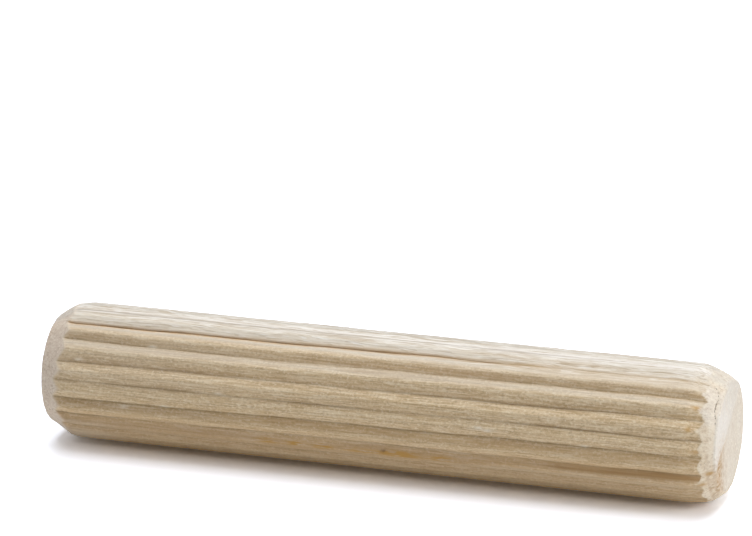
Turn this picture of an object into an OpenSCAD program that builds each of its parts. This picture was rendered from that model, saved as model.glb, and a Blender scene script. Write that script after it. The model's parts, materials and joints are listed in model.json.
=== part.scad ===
// Straight fluted dowel pin of turned hardwood, lying on two neighbouring ridges.
// Frame: millimetres, +X along the pin, +Z up, origin on the surface it lies on, below its middle.

/* [Pin] */
// Overall length, end face to end face
pin_length = 40; // [20:0.5:80]
// Diameter over the ridges
ridge_d = 7.9; // [6:0.05:12]

/* [Flutes] */
// Number of grooves pressed along the pin
flutes = 21; // [14:1:26]
// Depth of each groove below the ridges
flute_depth = 0.22; // [0.1:0.02:0.4]
// Width of the turned surface left along the top of each ridge
ridge_land = 0.14; // [0.06:0.02:0.3]

/* [Ends] */
// Length of the chamfer along the pin
chamfer_length = 1.9; // [1:0.1:3]
// How far the chamfer brings the radius in
chamfer_depth = 0.82; // [0.5:0.02:1.2]
// How far the rounded chamfer stands proud of a straight one
chamfer_crown = 0.08; // [0.02:0.01:0.2]

/* [Hidden] */
$fn = 96;

ridge_r = ridge_d / 2;
half_length = pin_length / 2;

// Angles around the pin: half of one flute's share, and half of one ridge's land
half_pitch_a = 180 / flutes;
half_land_a = asin(ridge_land / ridge_d);

// Height of the axis above the surface: a groove faces straight down, between the two ridges that carry the pin
rest_height = ridge_r * cos(half_pitch_a - half_land_a);

// Radius at which a ridge's two flanks would meet if the ridge had no land
root_r = ridge_r - flute_depth;
land_x = ridge_r * cos(half_land_a);
land_y = ridge_r * sin(half_land_a);
root_x = root_r * cos(half_pitch_a);
root_y = root_r * sin(half_pitch_a);
apex_r = land_x + land_y * (land_x - root_x) / (root_y - land_y);

// The chamfer is an arc that rises by its crown above its own chord. Points are [radius, place along the pin]
chord = norm([chamfer_depth, chamfer_length]);
chamfer_a = atan(chamfer_depth / chamfer_length);
chamfer_r = (chord * chord / 4 + chamfer_crown * chamfer_crown) / (2 * chamfer_crown);
chord_middle = [ridge_r - chamfer_depth / 2, half_length - chamfer_length / 2];
chamfer_centre = chord_middle - (chamfer_r - chamfer_crown) * [cos(chamfer_a), sin(chamfer_a)];

// Section across the flutes: flat flanks between sharp roots and the apexes, one root straight down
module fluted_section() {
    polygon([
        for (i = [0 : 2 * flutes - 1])
            let (r = i % 2 == 0 ? root_r : apex_r, a = i * half_pitch_a - 90)
                [r * cos(a), r * sin(a)]
    ]);
}

// Outline of half of the turned blank, from its middle to one end face
module half_outline() {
    square([ridge_r, half_length - chamfer_length]);
    intersection() {
        translate([0, half_length - chamfer_length])
            square([ridge_r, chamfer_length]);
        translate(chamfer_centre)
            circle(r = chamfer_r);
    }
}

// Turned round blank with a rounded chamfer at each end
module turned_blank() {
    rotate_extrude() {
        half_outline();
        mirror([0, 1])
            half_outline();
    }
}

// The whole pin: the blank with the flutes pressed along its full length
module dowel_pin() {
    color([0.84, 0.74, 0.6])
        translate([0, 0, rest_height])
            rotate([90, 0, 90])
                intersection() {
                    turned_blank();
                    linear_extrude(height = pin_length, center = true)
                        fluted_section();
                }
}

dowel_pin();
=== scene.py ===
import json
import math

import bpy
import numpy as np
from mathutils import Matrix, Vector


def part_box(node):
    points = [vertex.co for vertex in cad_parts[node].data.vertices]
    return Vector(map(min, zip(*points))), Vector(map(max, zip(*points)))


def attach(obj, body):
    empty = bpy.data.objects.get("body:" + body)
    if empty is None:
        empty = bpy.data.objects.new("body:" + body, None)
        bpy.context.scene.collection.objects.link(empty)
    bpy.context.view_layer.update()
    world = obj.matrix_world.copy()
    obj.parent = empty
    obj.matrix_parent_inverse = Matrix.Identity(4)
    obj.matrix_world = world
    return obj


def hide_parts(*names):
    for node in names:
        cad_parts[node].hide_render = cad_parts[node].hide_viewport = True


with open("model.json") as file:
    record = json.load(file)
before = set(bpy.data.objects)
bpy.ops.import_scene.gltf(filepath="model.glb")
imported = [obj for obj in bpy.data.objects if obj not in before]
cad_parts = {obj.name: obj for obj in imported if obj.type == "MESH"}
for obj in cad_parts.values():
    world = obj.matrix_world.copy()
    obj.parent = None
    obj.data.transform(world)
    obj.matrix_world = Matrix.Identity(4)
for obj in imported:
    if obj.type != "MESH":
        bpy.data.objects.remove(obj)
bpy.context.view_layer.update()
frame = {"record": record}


# The pin.
# One length of beech, turned round and chamfered at both ends by a rounding cutter, then pressed with
# straight flutes between toothed rollers. It is left bare, and lies on two neighbouring ridges.

shank = {mount["name"]: mount for mount in frame["record"]["mounts"]}["fluted_shank"]
low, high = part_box("dowel_pin")
# Everything in this section is in millimetres and degrees, up to the mesh
mm = 1000
axis_height = shank["pos_m"][2] * mm
half_length = (high.x - low.x) / 2 * mm
# The ridges have worn a hair under their nominal radius
ridge_wear = 0.007
ridge_r = shank["dims"]["r_mm"] - ridge_wear
# How far from an end its cone is followed, past where it meets the ridges, and in how many rings
cone_reach = 2.15
cone_rings, edge_rings = 38, 8


def end_rings(drop, slope, worn):
    """Distances from an end's plane and drops in radius, down its cut cone and round its worn edge."""
    tilt = math.atan(slope)
    turn = np.linspace(tilt, math.pi / 2, edge_rings)
    edge_drop = drop - slope * worn + worn / math.cos(tilt) - worn * np.cos(turn)
    edge_from = worn * (1 - np.sin(turn))
    cone_from = np.linspace(cone_reach, edge_from[0], cone_rings)[:-1]
    return np.append(cone_from, edge_from), np.append(drop - slope * cone_from, edge_drop)


# Rings of points from the middle of the left face, over the pin, to the middle of the right face. Each
# end's cone is given by the drop in radius it would reach at the face, its slope and its edge's wear
left_from, left_drop = end_rings(drop=0.81, slope=0.600, worn=0.15)
right_from, right_drop = end_rings(drop=0.74, slope=0.485, worn=0.13)
face_rings, shank_rings = 16, 250
# Rings on a face crowd towards its edge
crowding = 1.4
face_share = 1 - (1 - np.linspace(1 / face_rings, 1, face_rings, endpoint=False)) ** crowding
shank_x = np.linspace(left_from[0] - half_length, half_length - right_from[0], shank_rings + 2)[1:-1]
ring_x = np.concatenate([
    np.full(face_rings, -half_length), left_from[::-1] - half_length, shank_x,
    half_length - right_from, np.full(face_rings, half_length),
])
# The cutter's radius at each ring. Between the ends it stays clear of the pin
clear_of_pin = 9.0
cut_r = np.concatenate([
    face_share * (ridge_r - left_drop[-1]), ridge_r - left_drop[::-1],
    np.full(shank_rings, clear_of_pin),
    ridge_r - right_drop, face_share[::-1] * (ridge_r - right_drop[-1]),
])
rings = len(ring_x)
ring_step = np.hypot(np.diff(ring_x), np.diff(np.minimum(cut_r, ridge_r)))
ring_s = np.concatenate([[0], np.cumsum(ring_step)])
on_face = np.zeros((rings, 1), dtype=bool)
on_face[:face_rings] = on_face[-face_rings:] = True

# Columns of points across each flute, from root to root. column_u counts flutes round the pin from
# straight below, towards the front: whole numbers are roots
flutes, flute_depth = 21, 0.29
flute_steps = np.array([0, 0.045, 0.12, 0.21, 0.31, 0.41, 0.5, 0.59, 0.69, 0.79, 0.88, 0.955])
steps = len(flute_steps)
columns = flutes * steps
column_u = (np.arange(flutes)[:, None] + flute_steps).ravel()


def surface_noise(cell_along, cells_around, seed):
    """Smooth seeded noise from -1 to 1 over the rings and columns, with no seam around the pin."""
    lengthwise = ring_s / cell_along
    around = column_u / flutes * cells_around
    i, j = lengthwise.astype(int), around.astype(int)
    lattice = np.random.default_rng(seed).uniform(-1, 1, (i.max() + 2, cells_around))
    s, t = lengthwise - i, around - j
    s, t = (s * s * (3 - 2 * s))[:, None], (t * t * (3 - 2 * t))[None, :]
    j1, j2 = j % cells_around, (j + 1) % cells_around
    near = lattice[i][:, j1] * (1 - t) + lattice[i][:, j2] * t
    far = lattice[i + 1][:, j1] * (1 - t) + lattice[i + 1][:, j2] * t
    return near * (1 - s) + far * s


def flat_noise(a, b, seed):
    """The same noise over a plane, at places a and b counted in cells."""
    i, j = np.floor(a).astype(int), np.floor(b).astype(int)
    cells = (i.max() - i.min() + 2, j.max() - j.min() + 2)
    lattice = np.random.default_rng(seed).uniform(-1, 1, cells)
    s, t = a - i, b - j
    s, t = s * s * (3 - 2 * s), t * t * (3 - 2 * t)
    i, j = i - i.min(), j - j.min()
    near = lattice[i, j] * (1 - t) + lattice[i, j + 1] * t
    far = lattice[i + 1, j] * (1 - t) + lattice[i + 1, j + 1] * t
    return near * (1 - s) + far * s


def ramp(value, start, end):
    """0 at start, 1 at end, and a smooth change between them."""
    t = np.clip((value - start) / (end - start), 0, 1)
    return t * t * (3 - 2 * t)


def bell(value, middle, width):
    """1 at the middle, falling away to nothing over about twice the width."""
    return np.exp(-(((value - middle) / width) ** 2))


# Angle of each column from straight down, towards the front. The rollers left the spacing uneven in
# three lobes and let the flutes drift and waver, apart from the ridges that the pin lies on
along = ring_x[:, None]
even_angle = column_u * 360 / flutes
from_below = np.minimum(even_angle, 360 - even_angle)
clear_of_rest = ramp(from_below, 18, 45)
lobes = 2.0 * np.cos(2 * math.pi * 3 * (column_u - 2.9) / flutes)
uneven = lobes - 3.2 * bell(column_u, 2.9, 1.4)
drift = 3.1 * along / (shank_x[-1] - shank_x[0])
waver = 0.9 * surface_noise(6.5, flutes, 11) + 0.35 * surface_noise(2.2, flutes, 12)
# Roots that stray on their own: the root, how far, and from where along the pin to where it grows
root_strays = [
    (4, -1.4, 9, 14), (4, -1.3, -10, -18), (5, 1.8, 1, 9), (5, -1.3, -10, -18),
    (6, -0.8, -10, -18), (7, -2.2, 3, -10), (7, 0.2, -10, -18), (8, 1.8, -10, -18),
    (9, 1.7, -7, 1), (9, -1.7, 2, 7), (9, 0.3, 1, -4), (9, 0.1, -13, -20),
]
stray_width = 0.6
for root_no, most, start, end in root_strays:
    waver = waver + most * bell(column_u, root_no, stray_width) * ramp(along, start, end)
waver = waver - 1.3 * bell(column_u, 7, stray_width) * bell(along, 3, 6)
waver = waver + 0.9 * bell(column_u, 9, stray_width) * bell(along, -4.3, 2.6)
degrees = even_angle + clear_of_rest * (uneven + drift + waver * (1 - 0.9 * on_face))
round_front = (degrees + 180) % 360 - 180
x = along + 0 * degrees
from_left, from_right = x + half_length, half_length - x

# Flutes: convex ridges that meet in sharp roots. Towards each end the ridges bend down and the
# flutes grow shallow, until the cone cuts them off
across = column_u % 1
to_root = np.minimum(across, 1 - across)
crest = 0.5 - 0.14 * bell(column_u, 8.5, 0.5)
from_crest = np.where(across > crest, (across - crest) / (1 - crest), (crest - across) / crest)
# Some roots have closed up softly
soft = bell(column_u, 8, 0.4) * bell(along, -1, 6) + bell(column_u, 7, 0.4) * bell(along, -3, 6)
soft = soft + 0.8 * bell(column_u, 4, 0.4) * bell(along, 3, 7) + 0.6 * bell(column_u, 3, 0.4)
blunt = np.clip(soft, 0, 1) * 0.16
from_crest = 1 - np.sqrt((1 - from_crest) ** 2 + blunt**2)
profile = 0.80 * from_crest + 0.20 * from_crest * abs(from_crest)
# The rollers pressed lightly on the top and low on the front
shallow = 1 - 0.80 * bell(column_u, 10, 0.45) - 0.45 * bell(column_u, 9, 0.45) * ramp(along, 3, 10)
shallow = shallow * (1 - 0.40 * bell(column_u, 2.6, 0.9) * ramp(along, -16, -8))
depth = flute_depth * profile * shallow * (1 + 0.12 * surface_noise(3.0, 21, 1))
depth = depth * (1 - 0.20 * ramp(surface_noise(9.0, 21, 2), 0.2, 1.0))
depth = depth * (1 - 0.45 * ramp(from_left, 1.7, 0.8)) * (1 - 0.50 * ramp(from_right, 1.7, 0.8))


def bend(from_end, start, slope, most):
    """How far the ridges bend down at a distance from an end."""
    near = start - from_end
    easing = 0.03
    return np.minimum(slope * (near + np.sqrt(near**2 + easing)) / 2, most)


# Ridges crushed unevenly along the pin, and grain raised in fine streaks, torn most along the top
torn_edge = 5 * ramp(along, 2, 8)
torn = ramp(degrees, 153 - torn_edge, 158 - torn_edge) * ramp(degrees, 222, 200) * (1 - on_face)
crushed = 0.020 * ramp(surface_noise(4.0, 42, 3), 0.1, 1.0)
streaks = 0.009 * surface_noise(2.4, 126, 4) + 0.006 * surface_noise(0.9, 252, 5)
torn_streaks = 0.004 * surface_noise(9.0, 84, 6) + 0.012 * surface_noise(3.8, 126, 7)
torn_streaks = torn_streaks * (1 - 0.5 * ramp(along, 4, 9))
relief = np.maximum(crushed * (1 - torn) + streaks + torn * torn_streaks, 0)
depth = depth + clear_of_rest * relief
# The ridges bend less low on the front at the right end, and high up at the left end
fuller = bell(round_front, 24, 42)
upright = 1 - 0.8 * bell(degrees, 145, 34)
left_bend = bend(from_left, start=1.80, slope=0.20, most=0.17) * upright
right_bend = bend(from_right, start=1.72, slope=0.32, most=0.24) * (1 - 0.5 * fuller)
fluted = ridge_r - left_bend - right_bend - depth

# The cones: rough with crushed end grain, more so at the right
rough_cut = surface_noise(0.34, 84, 8) + 0.5 * surface_noise(0.16, 168, 9)
uneven_cut = 0.022 * surface_noise(0.6, 42, 10) + 0.016 * surface_noise(60, 126, 20)
uneven_cut = uneven_cut + 0.014 * surface_noise(60, flutes, 13)
crumbled = np.where(x > 0, 0.016 * rough_cut + uneven_cut, 0.008 * rough_cut + 0.7 * uneven_cut)
cut_wear = 0.012
cut = cut_r[:, None] - cut_wear - crumbled * (1 - 0.55 * bell(degrees, 40, 25))
# The cutter ran a little askew: less is off the right end low down, and the left end high up
right_skew = 0.17 * fuller + 0.035 * ramp(round_front, 138, 108) * ramp(round_front, -90, -30)
cut = cut + (x > 0) * right_skew * np.sin(math.pi * np.clip(from_right / 1.6, 0, 1))
left_skew = 0.08 * ramp(degrees, 165, 190) * ramp(degrees, 350, 300)
left_skew = left_skew - 0.12 * bell(degrees, 130, 25) - 0.15 * bell(degrees, 46, 18)
cut = cut + (x < 0) * left_skew * np.sin(math.pi * np.clip(from_left / 2.1, 0, 1))
cut = np.where(on_face, cut_r[:, None], cut)
# kept is 1 where the flutes are left, and 0 where the cutter took them
over_flutes = cut - fluted
kept = np.where(x > 0, ramp(over_flutes, -0.012, 0.012), ramp(over_flutes, -0.020, 0.045)) * ~on_face

# A crack that runs down the front of the right chamfer, close to its inner edge, from place to place
# along the pin and round it
crack_line = [
    (19.48, 158.0), (19.66, 152.0), (19.76, 147.0), (19.70, 139.0),
    (19.72, 131.0), (19.84, 124.0), (19.80, 116.0),
]
crack_r, crack_width, crack_depth = 3.3, 0.04, 0.03
crack_away = np.ones_like(degrees)
for (x1, a1), (x2, a2) in zip(crack_line[:-1], crack_line[1:]):
    px, pa = x - x1, np.radians(degrees - a1) * crack_r
    dx, da = x2 - x1, math.radians(a2 - a1) * crack_r
    t = np.clip((px * dx + pa * da) / (dx * dx + da * da), 0, 1)
    crack_away = np.minimum(crack_away, np.hypot(px - t * dx, pa - t * da))
crack = bell(crack_away, 0, crack_width) * (1 - on_face)

# Loose fibres that stand up from the surface, each at a place along the pin and an angle
fibre_places = [
    (-13.33, 136.4), (-14.72, 79.8), (-12.27, 83.7), (-17.6, 118.0),
    (6.49, 95.2), (7.0, 93.5), (-9.0, 100.5), (12.6, 88.0),
]
fibre_length, fibre_width, fibre_height = 0.24, 0.075, 0.05
loose = np.zeros_like(degrees)
for place_x, angle in fibre_places:
    sideways = np.radians(degrees - angle) * ridge_r
    away = np.hypot((x - place_x) / fibre_length, sideways / fibre_width)
    loose = np.maximum(loose, bell(away, 0, 1))
radius = np.minimum(fluted, cut) - crack_depth * crack + fibre_height * loose
radius = np.minimum(radius, ridge_r)
y = -radius * np.sin(np.radians(degrees))
z = -radius * np.cos(np.radians(degrees))

# End faces: shallow saw marks and end grain. A flake has broken off the lower part of the
# right one, and left a slanting ledge under the smooth pale part, with a small pit by the lower edge
inward = ramp(np.hypot(y, z), 3.0, 2.5)
marks = flat_noise((y * 0.55 - z * 0.84) * 2.4, (y * 0.84 + z * 0.55) * 0.5, 15)
grain = flat_noise(y * 5, z * 5, 16)
sunk = 0.02 + 0.012 * marks + 0.006 * grain
over_ledge = z - (0.61 + 0.615 * y)
ledge = ramp(over_ledge, -0.15, 0.25) * ramp(y, 1.6, 0.2) * ramp(z, 3.0, 1.2)
broken = 0.09 * (1 - ledge) * ramp(y, 3.0, 0.5)
pit = bell(np.hypot(y + 1.9, (z + 1.45) * 0.8), 0, 0.28)
pit = pit + 0.7 * bell(np.hypot(y + 1.3, z + 2.0), 0, 0.2)
sunk = sunk + np.where(x > 0, broken + 0.10 * pit, 0)
x = np.where(on_face, x - np.sign(x) * sunk * inward, x)

# The mesh, in metres: the rings, and a point in the middle of each face
grid = np.stack([x, y, z + axis_height], -1).reshape(-1, 3)
centres = [[x[0].mean(), 0, axis_height], [x[-1].mean(), 0, axis_height]]
vertices = np.concatenate([grid, centres]) / mm
column = np.arange(columns)
after = (column + 1) % columns
faces = []
for ring in range(rings - 1):
    start, end = ring * columns, (ring + 1) * columns
    faces += np.stack([start + column, end + column, end + after, start + after], -1).tolist()
last = (rings - 1) * columns
left_centre = rings * columns
right_centre = left_centre + 1
faces += [(int(a), int(b), left_centre) for a, b in zip(column, after)]
faces += [(last + int(b), last + int(a), right_centre) for a, b in zip(column, after)]

mesh = bpy.data.meshes.new("fluted_pin")
mesh.from_pydata(vertices.tolist(), [], faces)
mesh.shade_smooth()
# Every edge that runs along a root is sharp
ends = np.empty(len(mesh.edges) * 2, dtype=np.int32)
mesh.edges.foreach_get("vertices", ends)
ends = ends.reshape(-1, 2)
in_root = (ends % columns % steps == 0).all(1) & (ends < left_centre).all(1)
along_root = in_root & (np.abs(ends[:, 0] - ends[:, 1]) == columns)
sharp = mesh.attributes.new("sharp_edge", "BOOLEAN", "EDGE")
sharp.data.foreach_set("value", along_root)


def paint(name, values):
    """Keep a value at every point of the mesh, for the material."""
    attribute = mesh.attributes.new(name, "FLOAT", "POINT")
    middles = [values[0].mean(), values[-1].mean()]
    every_point = np.concatenate([np.asarray(values).ravel(), middles])
    attribute.data.foreach_set("value", every_point.astype(np.float32))


# Where the finish changes. Dark roots come first, painted crease shade in dark brown, stronger in some
# flutes and stretches than in others, with the worn root that borders the torn top
root_width = 0.085
line_of_root = np.clip(1 - to_root / root_width, 0, 1)
root_strength = np.clip(0.55 + 0.45 * surface_noise(5.0, flutes, 17), 0.1, 1)
ninth = bell(column_u, 9, 0.3)
root_strength = root_strength * (1 - ninth) + ninth * (0.25 + 1.25 * ramp(along, 11, -2))
root_strength = root_strength * (1 - 0.6 * bell(column_u, 2.6, 0.9))
root_strength = root_strength * (1 - 0.25 * bell(column_u, 6, 0.3))
fifth_dark = 0.5 * ramp(along, 4, 8) * ramp(along, 18, 13) + 0.3 * ramp(along, 0, -6)
root_strength = root_strength + fifth_dark * bell(column_u, 5, 0.3)
root_strength = root_strength + 0.5 * bell(column_u, 6, 0.3) * ramp(along, 3, 10)
root_strength = root_strength - 0.3 * bell(column_u, 8, 0.3) * ramp(along, 1, -4)
worn_root = 151 + 3.1 * ramp(along, -12, 3) + 1.3 * ramp(along, 6, 12)
worn_strength = 0.34 * bell(along, 5.5, 4) + 0.14 * ramp(along, 8, 12)
worn_line = bell(degrees, worn_root + 1.2, 1.6) * worn_strength
paint("root", (line_of_root * root_strength + worn_line) * kept)

# Brown heartwood in bands along single flanks, given by their place in flutes, width and strength, and
# painted shadow of the ridge above just under the low roots. Some show only from one place along the pin
# to another
band_and_shade = bell(column_u, 8.17, 0.17) * (0.75 + 0.45 * surface_noise(7.0, flutes, 18))
band_and_shade = band_and_shade * (1 - 0.3 * ramp(along, 1, -4))
# Painted shadow: the bands at 4.72 and 2.70 lie just under the fifth and third roots
for place_u, width, strength in [(4.72, 0.19, 0.75), (2.70, 0.24, 0.45), (7.15, 0.12, 0.35)]:
    band_and_shade = band_and_shade + strength * bell(column_u, place_u, width)
# Painted shadow: the bands at 3.68 and 3.85 lie just under the fourth root
part_bands = [
    (3.68, 0.30, 0.95, 10, 2), (3.85, 0.17, 1.0, 2, 6), (3.85, 0.17, 1.6, 9, 12),
    (7.0, 0.10, 0.4, -5, -10), (13.3, 0.3, 0.6, 5, -9), (17.6, 0.25, 0.6, -12, 6),
]
for place_u, width, strength, start, end in part_bands:
    band_and_shade = band_and_shade + strength * bell(column_u, place_u, width) * ramp(along, start, end)
band_and_shade = band_and_shade + 1.3 * bell(column_u, 9.0, 0.11) * ramp(along, -5, -2) * ramp(along, 11, 7)
# Other bands cross the flutes, and are given by their angle
angled_bands = [
    (51, 4, 0.35, -10, -15), (52, 5, 0.22, 8, 0),
    (131, 3, 0.35, -3, -10), (147.5, 3, 0.45, -3, -10),
]
for angle, width, strength, start, end in angled_bands:
    band_and_shade = band_and_shade + strength * bell(degrees, angle, width) * ramp(along, start, end)
band_and_shade = band_and_shade + 0.30 * bell(degrees, 56, 9)
band_and_shade = band_and_shade + 0.8 * bell(degrees, 132.6, 0.9) * ramp(along, -3, -1) * ramp(along, 9, 6)
# Painted crease shade along the torn top's edge at the left end
band_and_shade = band_and_shade + 0.35 * bell(degrees, worn_root, 1.5) * ramp(along, -16, -19)
paint("brown_and_shade", np.clip(band_and_shade, 0, 2.2) * kept)

# Amber under the torn top's edge, and in faint patches elsewhere
amber_strength = 0.80 + 0.25 * bell(along, 1, 6) - 0.35 * ramp(along, 8, 12)
amber = bell(degrees, worn_root + 4.0 - 1.6 * ramp(along, 0, 8), 2.2) * amber_strength
amber = amber + 0.22 * bell(degrees, 163.8, 1.6) * ramp(along, 2, 6) * ramp(along, 16, 12)
amber_patches = [(82, 4, 0.35, -12, -4), (68, 5, 0.45, 9, 13), (152, 3.4, 0.24, 7, 10)]
for angle, width, strength, start, end in amber_patches:
    amber = amber + strength * bell(degrees, angle, width) * ramp(along, start, end)
paint("amber", amber * kept)

# Ruddy underneath, stronger and lighter towards the very bottom and at the low left end as painted warm
# bounce light from the floor. Grey on the flanks that face up as painted sheen, and greyer wood in a few
# stretches
low_left_bounce_light = ramp(along, -12.5, -18) * ramp(degrees, 50, 38) * ramp(degrees, -10, 20)
ruddy_and_bounce_light = 0.45 + 0.35 * ramp(degrees, 46, 26) + 0.5 * ramp(degrees, 32, 22) + 0.5 * low_left_bounce_light
paint("ruddy_and_bounce_light", ramp(degrees, 80, 66) * ramp(degrees, -80, -66) * ruddy_and_bounce_light * (1 - on_face))
# Painted sheen: grey on the flanks that face up
upper_flank = bell(across, 0.78, 0.20)
grey_and_sheen = ramp(degrees, 119, 133) * ramp(degrees, 261, 247) * (0.10 + 0.90 * upper_flank)
grey_and_sheen = grey_and_sheen + 0.5 * bell(column_u, 8.75, 0.20)
grey_and_sheen = grey_and_sheen + 0.4 * bell(column_u, 3.28, 0.14) * ramp(along, 2, 7)
grey_and_sheen = grey_and_sheen + 0.22 * ramp(along, -4, -16) * ramp(degrees, 82, 100) * ramp(degrees, 156, 146)
grey_and_sheen = grey_and_sheen + 0.45 * bell(degrees, 148, 3) * ramp(along, -3, 1)
paint("grey_and_sheen", grey_and_sheen * (1 - on_face))

# The torn top has faded, and on top it is nearly white: bleached fibre with painted sheen. It is
# weathered grey behind. Its streaks are calmer towards the right, its lower edge is a pale lip with a
# painted highlight, and the whitest band, of white fibres and a painted highlight, lies just over the
# top
faded = ramp(degrees, 150 - torn_edge, 158 - torn_edge * 0.5) * ramp(degrees, 236, 205)
paint("faded", faded * (1 - on_face))
# Nearly white on top: bleached fibre, and painted sheen
paint("bleached_and_sheen", ramp(degrees, 154, 172) * ramp(degrees, 236, 205) * (1 - 0.45 * on_face))
paint("calm", ramp(along, 4, 10) + 0 * degrees)
weathered = ramp(degrees, 180, 191) * ramp(degrees, 250, 225) * (0.85 + 0.25 * ramp(along, -9, -4))
paint("weathered", weathered * (1 - on_face))
# The pale lip is a painted highlight along the torn top's lower edge
lip_highlight = bell(degrees, worn_root + 4.8 - 1.0 * ramp(along, 8, 12), 2.0)
paint("lip_highlight", lip_highlight * (1 + 0.5 * ramp(along, -10, -18)) * kept)
# The whitest band: white fibres and a painted highlight
band_middle = 175.3 - 2.2 * ramp(along, -7, -17)
band_strength = 0.45 + 0.55 * ramp(along, -16, 3) + 0.5 * ramp(along, 2, 7)
paint("white_fibres_and_highlight", bell(degrees, band_middle, 2.9) * band_strength * (1 - on_face))

# Painted light: a painted highlight on the ninth flute's flank, and painted bounce light from the floor
# where the lowest ridges end at the left
ninth_flank_highlight = bell(column_u, 9.26, 0.22) * ramp(along, 9, 5)
low_tip_bounce_light = ramp(along, -15.5, -18.5) * ramp(degrees, 48, 38)
low_tip_bounce_light = low_tip_bounce_light + 0.8 * bell(degrees, 57, 2.3) * ramp(along, -12, -18)
paint("painted_light", (ninth_flank_highlight + 0.25 * low_left_bounce_light + 0.35 * low_tip_bounce_light) * kept)

# An orange stain in patches low on the front, each at a place along the pin, with its half length and
# strength, a fainter one that runs on to the right, one at the back, and a small dark knot
stain_places = [
    (-6.2, 0.6, 0.8), (-4.5, 0.5, 1.0), (-2.8, 0.5, 1.2),
    (-0.6, 0.9, 0.5), (1.6, 1.1, 1.4), (4.2, 0.7, 0.9),
]
stain = 0.3 * bell(degrees, 58.6, 2.2) * ramp(along, -8, -5) * ramp(along, 6, 4)
for place_x, half, strength in stain_places:
    stain = stain + 1.7 * strength * bell(degrees, 60.7, 1.9) * bell(along, place_x, half)
stain = stain + 0.4 * bell(degrees, 62.0, 1.4) * ramp(along, 5, 7) * ramp(along, 12, 8)
stain = stain + 0.8 * bell(degrees, 238, 2.0) * ramp(along, -15, -11) * ramp(along, 0, -5)
paint("stain", stain * kept)
knot_away = np.hypot((x - 0.75) * 0.55, np.radians(degrees - 62.2) * ridge_r)
paint("knot", bell(knot_away, 0, 0.075))

# Fresh end grain on the cones and faces: whiter on the right face's smooth part, tufts of fibre where
# the cutter left the ridges, rubbed edges at the left, and a clean rim round the right face
paint("cut", 1 - kept)
paint("left_cut", (x < 0) * (1 - on_face))
paint("face", on_face + 0 * degrees)
whiter = ramp(over_ledge, -0.1, 0.2) * (0.35 + 0.65 * ramp(y, 1.0, -1.0) * ramp(z, 2.6, 1.2))
whiter = whiter * ramp(from_right, 0.20, 0.02)
paint("fresh", np.where(x > 0, whiter, 0))
near_end = ramp(np.minimum(from_left, from_right), 1.9, 1.5)
tuft = bell(over_flutes, -0.02, 0.035) * ramp(surface_noise(0.4, 126, 22), -0.5, 0.4) * near_end
paint("tuft", tuft * (0.75 - 0.35 * ramp(round_front, 70, 50)))
paint("rubbed", np.where(x < 0, bell(over_flutes, 0.03, 0.05), 0) * near_end)
rim = ramp(from_right, 0.60, 0.25) * ramp(degrees, 30, 55) * ramp(degrees, 152, 132)
rim = rim + ramp(from_right, 1.5, 1.0) * ramp(round_front, 58, 38) * ramp(round_front, 0, 15)
paint("rim", (x > 0) * np.minimum(rim, 1) * (1 - on_face))
paint("upper_cut", (x > 0) * ramp(degrees, 112, 122) * ramp(degrees, 165, 150))
paint("crack_away", crack_away)
paint("loose", loose)

# Specks scorched by the cutter where ridges end, each at a place along the pin, an angle and with a
# size. Stretches of the ninth root are scorched too, and the wood round the pit is stained
speck_places = [
    (18.72, 131.0, 0.15), (18.5, 111.5, 0.11), (18.95, 93.0, 0.13),
    (19.66, 70.0, 0.16), (19.23, 59.0, 0.15), (19.24, 28.0, 0.12),
]
speck = np.zeros_like(degrees)
for place_x, angle, size in speck_places:
    away = np.hypot((x - place_x) * 0.6, np.radians(degrees - angle) * ridge_r) / size
    speck = np.maximum(speck, bell(away, 0, 1))
paint("speck", speck)
scorched = 0.6 * bell(column_u, 8.93, 0.12) * kept
scorched = scorched * (0.55 * ramp(along, 7, 2) + 0.45 * ramp(along, 0, -8))
pit_stain = np.where(x > 19.5, bell(np.hypot(y + 2.0, (z + 1.6) * 0.7), 0, 1.0), 0)
paint("scorch", scorched + 0.7 * pit_stain)
paint("dull", pit_stain)

pin = bpy.data.objects.new("fluted_pin", mesh)
bpy.context.scene.collection.objects.link(pin)


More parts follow.
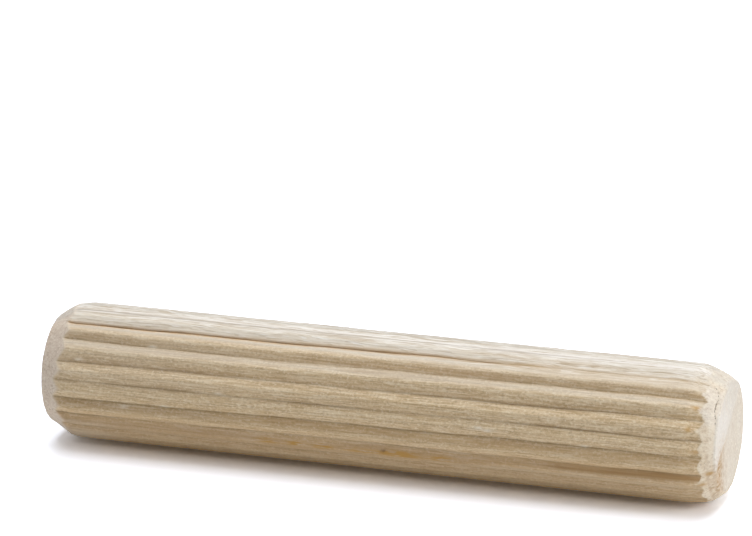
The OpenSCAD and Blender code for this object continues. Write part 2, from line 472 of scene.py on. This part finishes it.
class Wire:
    """One output socket of a shader node. Arithmetic on it adds Math nodes."""

    def __init__(self, tree, socket=None):
        self.tree = tree
        self.socket = socket

    def node(self, kind, settings, inputs, output=0):
        """Add a node of a type: its settings first, then the values or links of its sockets."""
        made = self.tree.nodes.new(kind)
        for name, value in settings.items():
            setattr(made, name, value)
        for name, value in inputs.items():
            if isinstance(value, Wire):
                self.tree.links.new(value.socket, made.inputs[name])
            else:
                made.inputs[name].default_value = value
        return Wire(self.tree, made.outputs[output])

    def math(self, operation, first, second=0.0):
        """Two values, or a value and a wire, through one Math node."""
        return self.node("ShaderNodeMath", {"operation": operation}, {0: first, 1: second})

    def __add__(self, other):
        return self.math("ADD", self, other)

    def __radd__(self, other):
        return self.math("ADD", other, self)

    def __sub__(self, other):
        return self.math("SUBTRACT", self, other)

    def __rsub__(self, other):
        return self.math("SUBTRACT", other, self)

    def __mul__(self, other):
        return self.math("MULTIPLY", self, other)

    def __rmul__(self, other):
        return self.math("MULTIPLY", other, self)

    def between(self, start, end):
        """0 where the value is at start, 1 at end, and a smooth change between them."""
        settings = {"interpolation_type": "SMOOTHSTEP"}
        inputs = {"Value": self, "From Min": start, "From Max": end}
        return self.node("ShaderNodeMapRange", settings, inputs)

    def mix(self, below, above):
        """Two colours mixed by this value."""
        settings = {"data_type": "RGBA", "clamp_factor": True}
        return self.node("ShaderNodeMix", settings, {0: self, 6: below, 7: above}, output=2)

    def grain(self, along, across, detail=2.0, roughness=0.5):
        """Noise drawn out along the pin, with cells of a length and a width in millimetres."""
        stretch = (mm / along, mm / across, mm / across)
        place = self.node("ShaderNodeVectorMath", {"operation": "MULTIPLY"}, {0: self, 1: stretch})
        inputs = {"Vector": place, "Scale": 1.0, "Detail": detail, "Roughness": roughness}
        return self.node("ShaderNodeTexNoise", {}, inputs)


def new_material(name):
    """An empty material: its shader's node, and a wire to start from."""
    material = bpy.data.materials.new(name)
    material.use_nodes = True
    return material, material.node_tree.nodes["Principled BSDF"], Wire(material.node_tree)


def plug(value, shader, name):
    """Lead a wire into a socket of the shader, or set the socket to a plain value."""
    if isinstance(value, Wire):
        value.tree.links.new(value.socket, shader.inputs[name])
    else:
        shader.inputs[name].default_value = value


wood, wood_shader, wire = new_material("bare_beech")
place = wire.node("ShaderNodeTexCoord", {}, {}, output="Object")


def painted(name):
    """A value that was kept on the mesh."""
    return wire.node("ShaderNodeAttribute", {"attribute_name": name}, {}, output="Fac")


# Sound wood: broad bands, streaks, fibres and fine threads along the grain, short brown flecks, and a
# sandy speckle
bands = place.grain(24, 1.3).between(0.35, 0.65)
streak = place.grain(6, 0.25, 3).between(0.33, 0.67)
fibre = place.grain(1.6, 0.105, 3, 0.62)
thread = place.grain(7, 0.07, 1).between(0.60, 0.70)
fleck = place.grain(0.8, 0.12, 1).between(0.58, 0.68)
speckle = place.grain(0.17, 0.12, 2, 0.6)
color = bands.mix((0.680, 0.517, 0.308, 1), (0.705, 0.540, 0.332, 1))
color = (streak * 0.25).mix(color, (0.75, 0.61, 0.43, 1))
color = (fibre.between(0.52, 0.36) * 0.55).mix(color, (0.86, 0.75, 0.57, 1))
color = (fibre.between(0.50, 0.66) * 0.50).mix(color, (0.44, 0.30, 0.155, 1))
color = (thread * 0.45).mix(color, (0.42, 0.29, 0.16, 1))
color = (fleck * 0.28).mix(color, (0.40, 0.265, 0.13, 1))
color = (speckle.between(0.54, 0.70) * 0.55).mix(color, (0.90, 0.80, 0.63, 1))
color = (speckle.between(0.46, 0.30) * 0.45).mix(color, (0.40, 0.275, 0.15, 1))

# Ruddy underneath with painted bounce light, grey with painted sheen on the flanks that face up,
# brown heartwood with painted shadow under the low ridges, and the orange stain
# Ruddy underneath, with painted warm bounce light towards the bottom and at the low left end
color = (painted("ruddy_and_bounce_light") * 0.50).mix(color, (0.86, 0.61, 0.36, 1))
# Painted sheen: grey on the flanks that face up, and greyer wood in a few stretches
color = (painted("grey_and_sheen") * (0.35 + 0.25 * fibre)).mix(color, (0.63, 0.59, 0.53, 1))
# Brown heartwood, with painted shadow just under the low roots
brown_and_shade = painted("brown_and_shade") * (0.55 + 0.45 * streak)
color = (brown_and_shade * 0.52).mix(color, (0.40, 0.24, 0.11, 1))
stain = painted("stain") * place.grain(1.1, 0.09, 2, 0.6).between(0.37, 0.54)
color = (stain * 0.88).mix(color, (0.56, 0.325, 0.095, 1))

# The torn top: bleached fibres with painted sheen that lie in long streaks, and sway a little as they
# run
lean = {0: (0, 0.0007, 0), "Scale": place.grain(4.0, 1.0, 1)}
sway = wire.node("ShaderNodeVectorMath", {"operation": "SCALE"}, lean)
torn_place = wire.node("ShaderNodeVectorMath", {"operation": "ADD"}, {0: place, 1: sway})
torn_streak = torn_place.grain(2.6, 0.11, 3, 0.65)
hair = torn_place.grain(2.4, 0.10, 2)
coarse_hair = torn_place.grain(4.2, 0.20, 1)
dark_hair = torn_place.grain(0.9, 0.11, 1).between(0.58, 0.66)
white_hair = torn_place.grain(1.1, 0.10, 1).between(0.40, 0.33)
light_streak = torn_streak.between(0.60, 0.42)
faded = painted("faded")
calm = painted("calm")
lying_and_sheen = painted("bleached_and_sheen")
color = (faded * 0.60).mix(color, (0.74, 0.65, 0.52, 1))
# Bleached fibre on top, with painted sheen
color = (lying_and_sheen * (0.75 + 0.25 * torn_streak)).mix(color, (0.75, 0.705, 0.635, 1))
dark = torn_streak.between(0.51, 0.60) * (0.55 - 0.30 * calm)
color = (faded * dark).mix(color, (0.54, 0.44, 0.32, 1))
light = torn_streak.between(0.48, 0.40) * (0.55 - 0.25 * calm)
color = (faded * light).mix(color, (0.93, 0.90, 0.84, 1))
color = (faded * hair.between(0.58, 0.66) * 0.70).mix(color, (0.46, 0.35, 0.23, 1))
color = (faded * hair.between(0.41, 0.35) * 0.60).mix(color, (0.97, 0.94, 0.88, 1))
dark = coarse_hair.between(0.57, 0.64) * (0.50 - 0.30 * calm)
color = (lying_and_sheen * dark).mix(color, (0.50, 0.42, 0.32, 1))
light = coarse_hair.between(0.41, 0.36) * (0.40 - 0.25 * calm)
color = (lying_and_sheen * light).mix(color, (0.97, 0.95, 0.92, 1))
# Painted light: a highlight on the ninth flute's flank, and bounce light from the floor low at the left
# end
color = (painted("painted_light") * (0.60 + 0.40 * torn_streak)).mix(color, (0.86, 0.79, 0.68, 1))
# White fibres with a painted highlight just over the top
white_fibres_and_highlight = painted("white_fibres_and_highlight") * (0.20 + 0.35 * streak + 0.35 * light_streak)
color = white_fibres_and_highlight.mix(color, (0.93, 0.89, 0.84, 1))
weathered = painted("weathered") * (0.35 + 0.65 * torn_streak.between(0.36, 0.60))
color = (weathered * (0.80 - 0.20 * calm)).mix(color, (0.555, 0.513, 0.45, 1))
# Painted highlight along the pale lip
color = (painted("lip_highlight") * (0.15 + 0.60 * light_streak)).mix(color, (0.97, 0.92, 0.83, 1))
color = (faded * hair.between(0.58, 0.65) * 0.35).mix(color, (0.46, 0.35, 0.23, 1))
color = (faded * dark_hair * 0.40).mix(color, (0.50, 0.40, 0.28, 1))
color = (faded * white_hair * 0.50).mix(color, (0.97, 0.95, 0.91, 1))

# Marks on both: amber, the knot, standing fibres, and the roots with painted shade in their creases
color = (painted("amber") * (0.40 + 0.40 * fibre)).mix(color, (0.62, 0.40, 0.17, 1))
color = (painted("knot") * 0.95).mix(color, (0.20, 0.11, 0.05, 1))
color = (painted("loose") * 0.8).mix(color, (0.93, 0.87, 0.75, 1))
# The roots are painted dark: painted crease shade in dark brown
root = painted("root") * (0.75 + 0.25 * fibre.between(0.35, 0.6))
color = (root * 0.80).mix(color, (0.22, 0.14, 0.07, 1))

# End grain: pale and crumbly, in clumps with dark dots and light chips, duller and flatter on the faces
cut = painted("cut")
on_left = painted("left_cut")
end_face = painted("face")
clump = place.grain(0.42, 0.34, 2)
dots = place.grain(0.13, 0.11, 1)
chips = place.grain(0.26, 0.16, 3, 0.7)
patch = place.grain(0.9, 0.7, 1).between(0.46, 0.58)
end_grain = speckle.between(0.30, 0.70).mix((0.76, 0.635, 0.475, 1), (0.88, 0.775, 0.615, 1))
blotch = place.grain(0.9, 0.6, 2).between(0.52, 0.72)
end_grain = (blotch * 0.30).mix(end_grain, (0.60, 0.44, 0.28, 1))
end_grain = (clump.between(0.52, 0.66) * 0.40).mix(end_grain, (0.91, 0.83, 0.68, 1))
end_grain = (clump.between(0.46, 0.34) * 0.36).mix(end_grain, (0.60, 0.45, 0.29, 1))
end_grain = (on_left * 0.60).mix(end_grain, (0.73, 0.61, 0.535, 1))
dark_dots = dots.between(0.57, 0.67) * (0.10 + 0.45 * patch)
end_grain = dark_dots.mix(end_grain, (0.44, 0.33, 0.23, 1))
end_grain = (dots.between(0.43, 0.33) * 0.35 * on_left).mix(end_grain, (0.96, 0.88, 0.76, 1))
end_grain = (painted("upper_cut") * 0.55).mix(end_grain, (0.80, 0.75, 0.69, 1))
end_grain = (painted("rim") * 0.50).mix(end_grain, (0.93, 0.84, 0.71, 1))
end_grain = (end_face * 0.60).mix(end_grain, (0.65, 0.612, 0.568, 1))
end_grain = (lying_and_sheen * 0.65).mix(end_grain, (0.63, 0.60, 0.555, 1))
end_grain = (painted("dull") * 0.6).mix(end_grain, (0.61, 0.50, 0.375, 1))
end_grain = (painted("fresh") * 0.80).mix(end_grain, (0.79, 0.755, 0.71, 1))
year_rings = place.grain(300, 0.9, 1).between(0.40, 0.60)
end_grain = (year_rings * 0.12).mix(end_grain, (0.62, 0.50, 0.38, 1))
end_grain = (chips.between(0.54, 0.64) * 0.45).mix(end_grain, (0.94, 0.87, 0.74, 1))
dark_chips = chips.between(0.45, 0.36) * (0.42 - 0.30 * end_face)
end_grain = dark_chips.mix(end_grain, (0.50, 0.375, 0.26, 1))
color = cut.mix(color, end_grain)

# Marks on the ends: tufts, rubbed edges, the stained pit, scorches, and the crack, painted dark in
# broken stretches as painted shade in its gap
color = (painted("tuft") * (0.25 + 0.5 * speckle)).mix(color, (0.91, 0.83, 0.67, 1))
color = (painted("rubbed") * (0.25 + 0.45 * speckle)).mix(color, (0.78, 0.68, 0.56, 1))
mottle = painted("dull") * place.grain(0.34, 0.28, 2, 0.6).between(0.49, 0.56)
color = (mottle * 0.80).mix(color, (0.42, 0.28, 0.15, 1))
scorch = painted("scorch") * place.grain(0.3, 0.2, 2).between(0.35, 0.55)
color = (scorch * 0.75).mix(color, (0.48, 0.27, 0.10, 1))
color = (painted("speck") * (0.5 + 0.6 * fibre)).mix(color, (0.52, 0.29, 0.08, 1))
# The crack's dark line is painted shade in the narrow gap
crack = painted("crack_away") + 0.10 * speckle - 0.05
crack = crack.between(0.040, 0.018) * place.grain(0.12, 0.25, 1).between(0.44, 0.54)
color = (crack * 0.75).mix(color, (0.20, 0.145, 0.10, 1))
plug(color, wood_shader, "Base Color")

# Dry wood has almost no gloss, and its grain stands a few hundredths of a millimetre proud
plug(0.3, wood_shader, "Specular IOR Level")
plug(0.50 + 0.16 * fibre + 0.10 * cut, wood_shader, "Roughness")
height = fibre * 0.6 + streak * 0.2 - torn_streak * faded * 1.2 + speckle * (0.45 - cut * 0.15)
grain_depth = 0.00004
raised = wire.node("ShaderNodeBump", {}, {"Strength": 0.8, "Distance": grain_depth, "Height": height})
plug(raised, wood_shader, "Normal")
mesh.materials.append(wood)

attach(pin, "root")
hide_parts("dowel_pin")


# Floor.
# A wide sheet of glossy white board that the pin lies on. It is set a hair low, so that the two
# don't share a plane, and it looks pure white to the camera apart from the pin's shadow.
floor_half, floor_gap = 0.6, 0.00001
floor_mesh = bpy.data.meshes.new("floor")
corners = [(a * floor_half, b * floor_half, -floor_gap) for a, b in [(-1, -1), (1, -1), (1, 1), (-1, 1)]]
floor_mesh.from_pydata(corners, [], [(0, 1, 2, 3)])
floor = bpy.data.objects.new("floor", floor_mesh)
bpy.context.scene.collection.objects.link(floor)
board, board_shader, wire = new_material("white_board")
camera_ray = wire.node("ShaderNodeLightPath", {}, {}, output="Is Camera Ray")
board_white, seen_white = (0.93, 0.93, 0.93, 1), (1.66, 1.73, 1.90, 1)
plug(camera_ray.mix(board_white, seen_white), board_shader, "Base Color")
plug(0.25, board_shader, "Roughness")
floor_mesh.materials.append(board)


# Light.
# A wide softbox overhead, and weaker ones in front, at the right and at the left, all facing the pin.
def softbox(name, place, width, height, power):
    """A rectangular area lamp at a place, facing the pin."""
    lamp = bpy.data.lights.new(name, "AREA")
    lamp.shape = "RECTANGLE"
    lamp.size = width
    lamp.size_y = height
    lamp.energy = power
    lit = bpy.data.objects.new(name, lamp)
    lit.location = place
    to_pin = Vector((0, 0, 0)) - Vector(place)
    lit.rotation_euler = to_pin.to_track_quat("-Z", "Y").to_euler()
    bpy.context.scene.collection.objects.link(lit)


softbox("overhead_softbox", place=(0, 0.085, 0.34), width=0.34, height=0.44, power=1.28)
softbox("front_softbox", place=(0, -0.175, 0.303), width=0.30, height=0.26, power=0.14)
softbox("right_softbox", place=(0.315, -0.035, 0.1225), width=0.22, height=0.22, power=0.58)
softbox("left_softbox", place=(-0.315, -0.035, 0.1225), width=0.22, height=0.22, power=0.11)

# White to the camera and in reflections, and next to no light on the pin
world = bpy.data.worlds.new("studio")
bpy.context.scene.world = world
world.use_nodes = True
sky = Wire(world.node_tree)
camera_ray = sky.node("ShaderNodeLightPath", {}, {}, output="Is Camera Ray")
glossy_ray = sky.node("ShaderNodeLightPath", {}, {}, output="Is Glossy Ray")
through_ray = sky.node("ShaderNodeLightPath", {}, {}, output="Is Transmission Ray")
seen = camera_ray.math("MAXIMUM", camera_ray, glossy_ray.math("MAXIMUM", glossy_ray, through_ray))
background = world.node_tree.nodes["Background"]
background.inputs["Color"].default_value = (1, 1, 1, 1)
room_light = 0.03
plug(room_light + (1 - room_light) * seen, background, "Strength")


# Camera.
# A long lens a little above the pin and to the right of square on, aimed a little over its middle.
camera_data = bpy.data.cameras.new("camera")
camera = bpy.data.objects.new("camera", camera_data)
bpy.context.scene.collection.objects.link(camera)
bpy.context.scene.camera = camera
azimuth, elevation = math.radians(17.73), math.radians(17.57)
distance, aim_right, aim_up = 0.3093, -0.00073, 0.00756
back = Vector((
    math.sin(azimuth) * math.cos(elevation),
    -math.cos(azimuth) * math.cos(elevation),
    math.sin(elevation),
))
right = Vector((math.cos(azimuth), math.sin(azimuth), 0))
up = back.cross(right)
middle = Vector((0, 0, axis_height / mm))
stand = middle + back * distance + right * aim_right + up * aim_up
turn = Matrix((right, up, back)).transposed().to_4x4()
camera.matrix_world = Matrix.Translation(stand) @ turn
camera_data.lens = 260
camera_data.sensor_width = 36
camera_data.clip_start = 0.01
camera_data.clip_end = 5

bpy.context.scene.view_settings.view_transform = "Standard"
